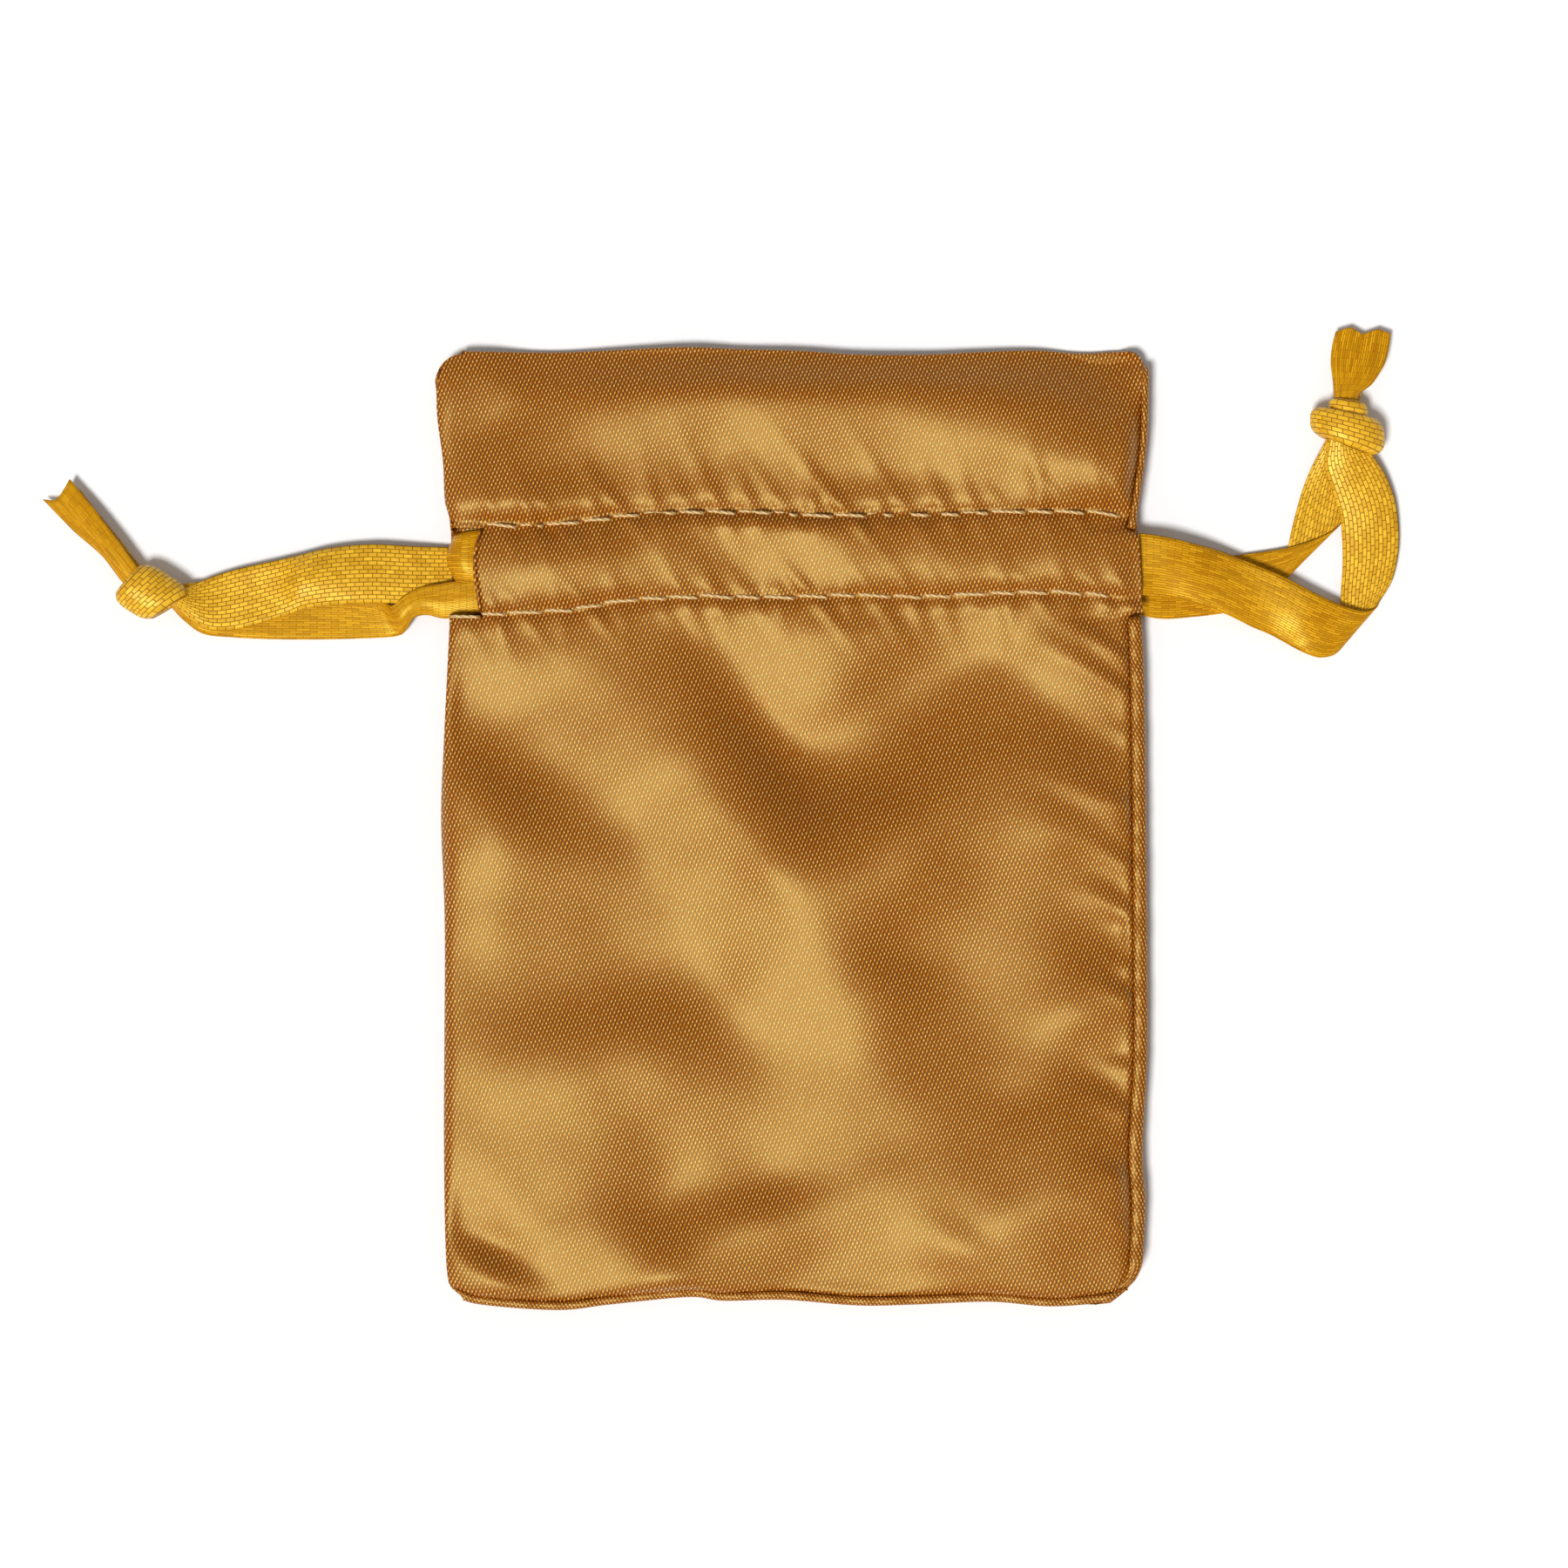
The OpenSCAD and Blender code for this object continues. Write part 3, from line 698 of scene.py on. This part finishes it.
def front_height(x, y):
    """Height of the front cloth's outer face."""
    left, right = edge_lines(y)
    right = right - strip_width(y)
    bottom = along(BOTTOM_EDGE, x)
    slit = in_slit(y)
    from_left, from_right = np.maximum(x - left, 0), np.maximum(right - x, 0)
    at_right = 0.35 * fold(from_right, 0.8) + 0.65 * rise(from_right, 10)
    at_right = at_right * (1 - slit) + slit * (0.72 + 0.28 * rise(from_right, 10))
    sides = (0.7 * fold(from_left, 1.3) + 0.3 * rise(from_left, 8)) * at_right
    from_seam = y - bottom - BOTTOM_SEAM_STRIP
    ends = 0.3 * fold(from_seam, 0.9) + 0.7 * rise(from_seam, 9)
    lower = along(LOWER_ROW, x)
    upper = along(UPPER_ROW, x)
    level = BODY_Z + (CASING_Z - BODY_Z) * ease((y - lower + 12) / 12)
    to_top = np.clip((y - upper) / (TOP_Y - upper), 0, 1)
    level = np.where(y > upper, HEADER_Z + (TOP_Z - HEADER_Z) * to_top**1.5, level)
    edge = EDGE_Z + (TOP_Z - EDGE_Z) * ease((y - 48.3) / 2.5)
    z = edge + (level - edge) * sides * ends
    inner = rise(from_left, 2) * rise(from_right, 2)
    z += relief(x, y, BODY_RELIEF) * inner * rise(y - bottom, 3) * ease((lower + 1 - y) / 4)
    z += relief(x, y, HEADER_RELIEF) * inner * ease((y - upper + 1) / 4)
    z += relief(x, y, CASING_RELIEF) * inner * ease((y - lower + 1) / 3) * ease((upper + 1 - y) / 3)
    casing = np.clip((y - lower) / (upper - lower), 0, 1)
    hump = 0.55 + 0.16 * np.sin(x / 5.3) + 0.1 * np.sin(x / 2.1 + 1)
    z += hump * np.sin(np.pi * casing) ** 0.8 * np.maximum(inner, slit * 0.6)
    z += 1.1 * np.sin(np.pi * to_top**1.5) * (y > upper) * inner
    z += puckers(x, y, UPPER_ROW, UPPER_HOLES, 4.6, 2.6)
    z += puckers(x, y, LOWER_ROW, LOWER_HOLES, 2.4, 3.2)
    for at, high, wide, length, slope in SEAM_PUCKERS:
        line = y - at - slope * from_right * (1 - from_right / 40)
        reach = np.exp(-(from_right / length) ** 1.3) * (1 - np.exp(-from_right / 0.4))
        wide = wide * (1 + 0.12 * from_right)
        z += high * reach * (bell(line, wide) - 0.5 * bell(line - 1.7 * wide, wide))
    z += unevenness(x, y) * inner
    z -= 0.2 * np.exp(-from_right / 0.25) * (1 - slit)
    z -= 0.45 * ease((0.15 - from_seam) / 0.4)
    return z


def back_height(x, y):
    """Height of the back cloth's outer face, which lies on the table."""
    z = BACK_Z + 0.07 * (1 + np.sin(x * 0.23 + 1.7 * np.sin(y * 0.1)) * np.sin(y * 0.19 + x * 0.05))
    for row, holes in ((UPPER_ROW, UPPER_HOLES), (LOWER_ROW, LOWER_HOLES)):
        z = z - 0.5 * puckers(x, y, row, holes, 1.6, 1.6)
    return np.maximum(z, 0.05)


def rows_of(low, high):
    """Row places up the sack, closer at the ends, with rows on the slit's two ends."""
    inner = np.array([0, 0.03, 0.12, 0.3, 0.55, 0.85, 1.2, 1.6])
    return np.concatenate([
        low + inner,
        np.arange(low + 2.05, NOTCH_LOW - 0.2, 0.45),
        [NOTCH_LOW - 0.04, NOTCH_LOW + 0.04],
        np.arange(NOTCH_LOW + 0.4, NOTCH_HIGH - 0.2, 0.4),
        [NOTCH_HIGH - 0.04, NOTCH_HIGH + 0.04],
        np.arange(NOTCH_HIGH + 0.4, high - 2, 0.45),
        (high - inner)[::-1],
    ])


def bend_ends(x, y):
    """The rows follow the uneven top and bottom edges as they come near them."""
    y = y + np.clip((y - 40) / 11, 0, 1) * (along(TOP_EDGE, x) - TOP_Y)
    return y + np.clip((-40 - y) / 11, 0, 1) * (along(BOTTOM_EDGE, x) - BOTTOM_Y)


def gather(obj):
    """Bakes the piece's placement into its mesh and reads its vertex places; the cloth is not drawn in
    here.
    """
    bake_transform(obj)
    co = np.zeros(len(obj.data.vertices) * 3)
    obj.data.vertices.foreach_get("co", co)


def distance_across(points):
    """Distance across the cloth, measured over its turned edges, from its middle column."""
    step = np.hypot(np.diff(points[..., 0], axis=1), np.diff(points[..., 2], axis=1))
    run = np.concatenate([np.zeros((len(points), 1)), np.cumsum(step, axis=1)], axis=1)
    middle = points.shape[1] // 2
    return run + (points[:, middle, 0] - run[:, middle])[:, None]


def cloth(name, patches, flipped=False, thickness=CLOTH_T, nodes=(), turned=False):
    """One piece of satin from grids of (points, distance up the cloth, quads that stay)."""
    parts = []
    for k, (points, up, keep) in enumerate(patches):
        across = distance_across(points) if turned else points[..., 0]
        uv = np.stack([across, np.broadcast_to(up, points.shape[:2])], axis=-1)
        parts.append(grid_object(name if k == 0 else f"{name}_{k}", points, uv, SATIN, keep))
    obj = join(parts)
    if flipped:
        obj.data.flip_normals()
    thicken(obj, thickness)
    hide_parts(*nodes)
    gather(obj)
    return obj


def join(parts):
    first = parts[0]
    if len(parts) > 1:
        with bpy.context.temp_override(active_object=first, selected_editable_objects=parts):
            bpy.ops.object.join()
    return first


ROLL = np.radians(np.linspace(20, 180, 8))
ROLL_R = 0.3


def rolled_over(x, y, z, side):
    """The rows that turn the top edge in: side is -1 for the front cloth and 1 for the back."""
    top = np.stack([x[-1], y[-1], z[-1]], axis=-1)
    return np.array([
        top + np.array([0, ROLL_R * math.sin(a), side * ROLL_R * (1 - math.cos(a))]) for a in ROLL
    ])


LEFT_SHARES = np.array([0, 0.004, 0.016, 0.04, 0.075, 0.12, 0.18, 0.26, 0.36, 0.5, 0.65, 0.82])
MAIN_SHARES = np.concatenate([np.linspace(0, 0.972, 150),
                              [0.98, 0.986, 0.991, 0.995, 0.998, 0.9994, 1]])


def make_front_panel():
    y_rows = rows_of(-50.4, TOP_Y)
    left, right = edge_lines(y_rows)
    seam = right - strip_width(y_rows)
    notch = along(NOTCH_EDGE, np.clip(y_rows, 22, 34))
    x = np.concatenate([left[:, None] + (notch - left)[:, None] * LEFT_SHARES,
                        notch[:, None] + (seam - notch)[:, None] * MAIN_SHARES], axis=1)
    y = bend_ends(x, np.repeat(y_rows[:, None], x.shape[1], 1))
    z = front_height(x, y)
    points = np.concatenate([np.stack([x, y, z], axis=-1), rolled_over(x, y, z, -1)])
    up = np.concatenate([y_rows, TOP_Y + ROLL_R * ROLL])[:, None]
    keep = np.ones((points.shape[0] - 1, points.shape[1] - 1), bool)
    slit = (y_rows[:-1] >= NOTCH_LOW - 0.05) & (y_rows[1:] <= NOTCH_HIGH + 0.05)
    keep[np.ix_(np.flatnonzero(slit), np.arange(len(LEFT_SHARES)))] = False
    return cloth("front_panel_cloth", [(points, up, keep)], nodes=["front_panel"])


# How the back cloth comes round an edge: distance in from the edge and height.
AROUND = [(1.8, 0.0), (1.2, 0.13), (0.7, 0.4), (0.3, 0.85), (0.08, 1.6), (0, 2.3), (0.05, 2.6)]
OVER = [(0.1, 2.86), (0.24, 3.02), (0.47, 3.12), (0.7, 3.12), (0.9, 3.05), (1, 2.85), (1.05, 2.35)]
RIM_Z = BACK_Z + 2.3
# The weave goes on this far for each row that turns up at the bottom seam.
WRAP_STEP = 0.3
SIDE_LIFT = 2.4


def back_columns(y_rows):
    """x across the back cloth at these heights, and each column's lift off the table."""
    left, right = edge_lines(y_rows)
    bend, over = np.array(AROUND), np.array(OVER)
    flat = np.linspace(0, 1, 120)[1:-1]
    x = np.concatenate([
        left[:, None] + bend[::-1, 0],
        left[:, None] + 1.8 + (right - left - 3.6)[:, None] * flat,
        right[:, None] - bend[:, 0],
        right[:, None] - over[:, 0] * strip_width(y_rows)[:, None],
    ], axis=1)
    lift = np.concatenate([bend[::-1, 1], np.zeros(len(flat)), bend[:, 1], over[:, 1] - BACK_Z])
    return x, lift


def make_back_panel():
    y_rows = rows_of(-49.2, TOP_Y)
    closed = (1 - in_slit(y_rows)) * ease((50.6 - y_rows) / 1.5)
    x, lift = back_columns(y_rows)
    count = x.shape[1]
    column = np.arange(count)[None]
    y = bend_ends(x, np.repeat(y_rows[:, None], count, 1))
    gathers = 0.06 * np.sin(y * 2.1 + 2 * np.sin(y * 0.3)) + 0.07 * np.sin(y * 0.9)
    at_fold = column <= len(AROUND)
    at_seam = column >= count - len(OVER) - 1
    share = np.where(at_fold, (0.3 + 0.7 * closed)[:, None], closed[:, None])
    z = back_height(x, y) + (lift[None] + gathers * at_seam) * share
    wraps = []
    for off, height in [*OVER[::-1], *AROUND[::-1][:-1]]:
        over_top = (off, height) in OVER
        rows = np.array([BOTTOM_Y + off * (BOTTOM_SEAM_STRIP if over_top else 1)])
        wrap_x = back_columns(rows)[0]
        wrap_y = rows[:, None] + along(BOTTOM_EDGE, wrap_x) - BOTTOM_Y
        uneven = 0.1 * np.sin(wrap_x * 1.9) + 0.08 * np.sin(wrap_x * 0.8)
        at_side = np.minimum(lift, SIDE_LIFT)[None]
        if over_top:
            wrap_z = RIM_Z + (height + uneven - RIM_Z) * (1 - 0.6 * at_side / SIDE_LIFT)
        else:
            wrap_z = BACK_Z + np.minimum(np.hypot(height, at_side), SIDE_LIFT)
        wraps.append(np.stack([wrap_x, wrap_y, wrap_z], axis=-1)[0])
    points = np.concatenate([wraps, np.stack([x, y, z], axis=-1), rolled_over(x, y, z, 1)])
    step = np.arange(len(wraps))[:, None] * WRAP_STEP
    up = np.concatenate([BOTTOM_Y - WRAP_STEP * len(wraps) + step, y_rows[:, None],
                         TOP_Y + ROLL_R * ROLL[:, None]])
    keep = np.ones((points.shape[0] - 1, count - 1), bool)
    slit = (y_rows[:-1] >= NOTCH_LOW + 0.3) & (y_rows[1:] <= NOTCH_HIGH - 0.3)
    seam_quads = np.arange(count - len(OVER) - 1, count - 1)
    keep[np.ix_(np.flatnonzero(slit) + len(wraps), seam_quads)] = False
    return cloth("back_panel_cloth", [(points, up, keep)], flipped=True, nodes=["back_panel"],
                 turned=True)


FACING_COLUMNS = 150
# Inside the casing the front facing lies level, clear of the ribbons.
FACING_Z = 2.3
FACING_GAP = 0.55


def facing_grid(low_drop):
    """x and y of a facing: from just under the lower row to the turned top edge."""
    top_rows = (TOP_Y - np.array([0, 0.1, 0.4, 0.9, 1.6]))[::-1]
    rows = np.concatenate([np.linspace(24.5, 34, 26), np.linspace(34.5, 49, 30), top_rows])
    left, right = edge_lines(rows)
    slit = in_slit(rows)
    left = (left + 1.0) * (1 - slit) - 33.2 * slit
    right = (right - 1.4) * (1 - slit) + 33.2 * slit
    x = left[:, None] + (right - left)[:, None] * np.linspace(0, 1, FACING_COLUMNS)
    y = np.repeat(rows[:, None], FACING_COLUMNS, 1)
    lower = along(LOWER_ROW, x)
    share = np.clip((y - 24.5) / 9.5, 0, 1)
    y = np.where(y < 34, (lower - low_drop) + (34 - lower + low_drop) * share, y)
    y = bend_ends(x, y)
    return x, y


def channel(x, y):
    """1 in the middle of the casing and 0 at its two stitch rows."""
    lower, upper = along(LOWER_ROW, x), along(UPPER_ROW, x)
    return np.sin(np.pi * np.clip((y - lower) / (upper - lower), 0, 1)) ** 0.45


def make_facings():
    x, y = facing_grid(1.6)
    to_top = ease((y - 44) / 7)
    under = FACING_GAP + 0.05 * to_top
    below = along(LOWER_ROW, x) - y
    sag = 0.5 * ease(below / 1.6)
    front_z = front_height(x, y) - under - sag
    front_z += (FACING_Z - front_z) * channel(x, y)
    back_z = back_height(x, y) + (under + 1.1 * channel(x, y)) + 0.4 * sag
    up = y[:, :1]
    front = cloth("front_facing_cloth", [(np.stack([x, y, front_z], -1), up, None)], flipped=True,
                  nodes=["front_facing"])
    back = cloth("back_facing_cloth", [(np.stack([x, y, back_z], -1), up, None)],
                 nodes=["back_facing"])
    return front, back


def make_slit_hem(name, node, edge, inward):
    """The turned edge of the cloth beside a slit, on the front and on the back."""
    rows = np.linspace(NOTCH_LOW + 0.5, NOTCH_HIGH - 0.4, 30)
    patches = []
    for side in (1, -1):
        at = edge(rows, side)
        columns = []
        for a in np.radians(np.linspace(0, 180, 9)):
            x = at - inward * 0.2 * math.sin(a)
            columns.append((x, at + inward * 0.02, 0.17 * (1 - math.cos(a))))
        for off in (0.3, 0.7, 1.2, 1.8):
            columns.append((at + inward * off, at + inward * off, 0.34))
        x = np.stack([c[0] for c in columns], axis=1)
        on = np.stack([c[1] for c in columns], axis=1)
        drop = np.array([c[2] for c in columns])[None]
        y = np.repeat(rows[:, None], x.shape[1], 1)
        surface = front_height(on, y) + 0.02 if side > 0 else back_height(on, y) + 0.1
        patches.append((np.stack([x, y, surface - side * drop], -1), y[:, :1], None))
    return cloth(name, patches, thickness=0.12, nodes=[node])


def left_slit_edge(y, side):
    return along(NOTCH_EDGE, y) if side > 0 else edge_lines(y)[0] + 0.1


def right_slit_edge(y, side):
    return edge_lines(y)[1] - 0.1


ALLOWANCE_W = 4
RAGGED_FROM = 3.5
PLY_HEIGHTS = (0.8, 1.1)
SEAM_STITCH_Z = 1.2
SEAM_STITCH_PITCH = 2.6


def make_allowances():
    """The seams' raw edges inside the sack: two plies lying on the back cloth."""
    rows = np.linspace(-46, 22, 150)
    right = edge_lines(rows)[1] - SIDE_SEAM_STRIP
    off = np.linspace(0.35, ALLOWANCE_W, 9)
    ragged = 0.12 * np.sin(rows * 3.1) + 0.08 * np.sin(rows * 7.7)
    side, bottom = [], []
    for z in PLY_HEIGHTS:
        x = right[:, None] - off - ragged[:, None] * (off > RAGGED_FROM)
        y = np.repeat(rows[:, None], len(off), 1)
        height = z + 0.05 * np.sin(y * 0.8 + z) * off / ALLOWANCE_W
        side.append((np.stack([x, y, height], -1), y[:, :1], None))
    columns = np.linspace(-35, 30.5, 140)
    low = along(BOTTOM_EDGE, columns) + BOTTOM_SEAM_STRIP
    ragged = 0.12 * np.sin(columns * 2.7) + 0.08 * np.sin(columns * 8.3)
    for z in PLY_HEIGHTS:
        x = np.repeat(columns[None], len(off), 0)
        y = low + off[:, None] + ragged * (off > RAGGED_FROM)[:, None]
        height = z + 0.05 * np.sin(x * 0.8 + z) * off[:, None] / ALLOWANCE_W
        bottom.append((np.stack([x, y, height], -1), y[:, :1], None))
    return (cloth("side_seam_allowance_plies", side, thickness=0.22, nodes=["side_seam_allowance"]),
            cloth("bottom_seam_allowance_plies", bottom, thickness=0.22,
                  nodes=["bottom_seam_allowance"]))


def stitches(name, starts, ends, surface, side, node):
    """A row of thread stitches: short two-ply tubes that dip into the cloth at both ends."""
    s = np.linspace(0, 1, 19)
    around = np.linspace(0, 2 * np.pi, 11)
    parts = []
    for k, (a, b) in enumerate(zip(starts, ends)):
        a, b = np.array(a), np.array(b)
        line = a + (b - a) * s[:, None]
        run = (b - a) / np.linalg.norm(b - a)
        sideways = np.array([-run[1], run[0]])
        slant = 0.16 * (1 - 2 * s) + 0.05 * math.sin(k * 1.7)
        line = line + sideways * slant[:, None]
        top = surface(line[:, 0], line[:, 1])
        lift = 0.13 - 0.5 * np.abs(2 * s - 1) ** 10
        z = top + side * lift
        length = np.linalg.norm(b - a) * s
        ply = 1 + 0.1 * np.sin(2 * around[None] + length[:, None] * 2 * math.pi / 0.8)
        radius = 0.18 * ply
        points = np.stack([
            line[:, 0][:, None] + sideways[0] * radius * np.cos(around),
            line[:, 1][:, None] + sideways[1] * radius * np.cos(around),
            z[:, None] + radius * np.sin(around),
        ], axis=-1)
        uv = np.stack([np.repeat(length[:, None], len(around), 1),
                       np.repeat(around[None] * 0.2, len(s), 0)], axis=-1)
        parts.append(grid_object(name if k == 0 else f"{name}_{k}", points, uv, THREAD))
    obj = join(parts)
    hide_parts(node)
    gather(obj)
    return obj


def row_stitches(name, holes, surface, side, node):
    points = np.stack(holes, axis=-1)
    run = points[1:] - points[:-1]
    stitches(name, points[:-1] + 0.02 * run, points[1:] - 0.02 * run, surface, side, node)


def on_allowance(x, y):
    """Height of the seam stitches, on top of the allowances."""
    return SEAM_STITCH_Z + 0 * x


def make_stitching():
    for cloth_name, surface, side in (("front", front_height, 1), ("back", back_height, -1)):
        for row, holes in (("upper", UPPER_HOLES), ("lower", LOWER_HOLES)):
            name = f"{cloth_name}_{row}_stitch"
            row_stitches(f"{name}_row", holes, surface, side, f"{name}ing")
    y = np.arange(-45.5, 21, SEAM_STITCH_PITCH)
    along_side = (edge_lines(y)[1] - SIDE_SEAM_STRIP - 1.3, y)
    row_stitches("side_seam_stitch_row", along_side, on_allowance, 1, "side_seam_stitching")
    x = np.arange(-34.5, 30, SEAM_STITCH_PITCH)
    bottom = (x, along(BOTTOM_EDGE, x) + BOTTOM_SEAM_STRIP + 1.4)
    row_stitches("bottom_seam_stitch_row", bottom, on_allowance, 1, "bottom_seam_stitching")


# The ribbons inside the casing: x, centre y, width, and depth under the front or over the table.
LEFT_FRONT_LEG = [(-34.4, 25.1, 4.3, 0.75), (-28, 25.9, 3.8, 0.8), (0, 26.6, 3, 0.9),
                  (24, 27.1, 3.2, 1.05), (33, 28.4, 4, 1.15), (34.8, 28.6, 4.2, 1.2)]
LEFT_BACK_LEG = [(34.8, 28.6, 4.2, 1.35), (33, 28.4, 4, 1.3), (24, 27.4, 3.8, 1.1),
                 (0, 26.9, 3.8, 0.8), (-26, 26.7, 4.2, 0.65), (-34.6, 27.25, 5.8, 0.7)]
RIGHT_FRONT_LEG = [(34.6, 28.4, 6.2, 0.62), (29, 29, 5, 0.62), (23, 30.1, 3.6, 0.65),
                   (0, 29.7, 3, 0.65), (-14, 29.7, 3, 0.65), (-22, 30.1, 3.4, 0.65),
                   (-29, 29.2, 4.8, 0.62), (-33.4, 29, 6.0, 0.6)]
RIGHT_BACK_LEG = [(-33.8, 29, 6.1, 1.15), (-28, 29.4, 4.8, 1.1), (-20, 29.8, 3.2, 0.95),
                  (-13, 29.7, 3, 0.9), (0, 29.7, 3, 0.9), (22, 30, 3.6, 0.9),
                  (29, 28.4, 4, 0.85), (34.6, 27.2, 4, 0.9)]
# No run in the front channel is higher than this, so that it stays under the gathered cloth.
RUN_TOP_Z = 3.05


def casing_loop(name, front_leg, back_leg, turn_x, mouth_z, node, body):
    """A ribbon's run along the front channel, round its turn and back along the back channel.

    mouth_z is where the free strand's two edges start, at the ribbon's own slit.
    """
    rows = []
    own_side = math.copysign(1, front_leg[0][0])
    span = np.arange(-30, 30, 0.5)
    for x, y, width, depth in smooth(front_leg, 12):
        edges = []
        for edge_y, mouth in zip((y + width / 2, y - width / 2), mouth_z):
            here = front_height(np.array([x]), np.array([edge_y]))[0] - depth
            lowest = front_height(span, np.clip(edge_y, 26.4, 31.4) + 0 * span).min() - 0.5
            in_channel = min(here, lowest, RUN_TOP_Z)
            at_own_slit = min(max((x * own_side - 31.5) / 2, 0), 1)
            at_turn = min(max((-x * own_side - 29) / 3, 0), 1)
            z = in_channel + (mouth - in_channel) * at_own_slit + (here - in_channel) * at_turn
            edges += [x, edge_y, float(z)]
        rows.append((*edges, 0.1))
    last, first = front_leg[-1], back_leg[0]
    top_z, low_z = (rows[-1][2] + rows[-1][5]) / 2, first[3]
    for a in np.radians([25, 50, 75, 90, 105, 130, 155]):
        x = last[0] + (turn_x - last[0]) * math.sin(a)
        z = (top_z + low_z) / 2 + (top_z - low_z) / 2 * math.cos(a)
        half = last[2] / 2 * (1 - 0.16 * math.sin(a))
        swell = min(0.8, abs(turn_x - last[0]) / 3)
        x -= math.copysign(swell * math.sin(a), turn_x)
        rows.append((x, last[1] + half, z, x, last[1] - half, z, 0.15 + swell * math.sin(a)))
    for x, y, width, height in smooth(back_leg, 12):
        rows.append((x, y + width / 2, height, x, y - width / 2, height, 0.05))
    obj, _ = band(name, rows, "satin", per_span=2, turns=True)
    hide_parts(node)
    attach(obj, body)


front_panel = make_front_panel()
back_panel = make_back_panel()
front_facing, back_facing = make_facings()
hems = [make_slit_hem("left_slit_hem_cloth", "left_slit_hem", left_slit_edge, 1),
        make_slit_hem("right_slit_hem_cloth", "right_slit_hem", right_slit_edge, -1)]
allowances = make_allowances()
make_stitching()
casing_loop("left_ribbon_casing_loop_satin", LEFT_FRONT_LEG, LEFT_BACK_LEG, 36.3, (2.2, 2.0),
            "left_ribbon_casing_loop", "left_drawstring")
casing_loop("right_ribbon_casing_loop_satin", RIGHT_FRONT_LEG, RIGHT_BACK_LEG, -37.1, (2.8, 2.7),
            "right_ribbon_casing_loop", "right_drawstring")

# ---------------------------------------------------------------- floor and light


def make_floor():
    mesh = bpy.data.meshes.new("floor")
    size = 1.5
    mesh.from_pydata([(-size, -size, 0), (size, -size, 0), (size, size, 0), (-size, size, 0)], [],
                     [(0, 1, 2, 3)])
    floor = bpy.data.objects.new("floor", mesh)
    floor.location.z = -0.0002
    mesh.materials.append(floor_material())
    bpy.context.scene.collection.objects.link(floor)


def make_sun(name, direction, strength, softness):
    data = bpy.data.lights.new(name, "SUN")
    data.energy = strength
    data.angle = softness
    light = bpy.data.objects.new(name, data)
    light.rotation_mode = "QUATERNION"
    light.rotation_quaternion = Vector(direction).to_track_quat("Z", "Y")
    bpy.context.scene.collection.objects.link(light)


make_floor()
make_sun("key", (-0.27, -0.37, 0.92), 3.0, 0.26)
world = bpy.data.worlds.new("studio")
world.use_nodes = True
world.node_tree.nodes["Background"].inputs[0].default_value = (1, 1, 1, 1)
world.node_tree.nodes["Background"].inputs[1].default_value = 0.3
bpy.context.scene.world = world
bpy.context.scene.view_settings.view_transform = "Standard"
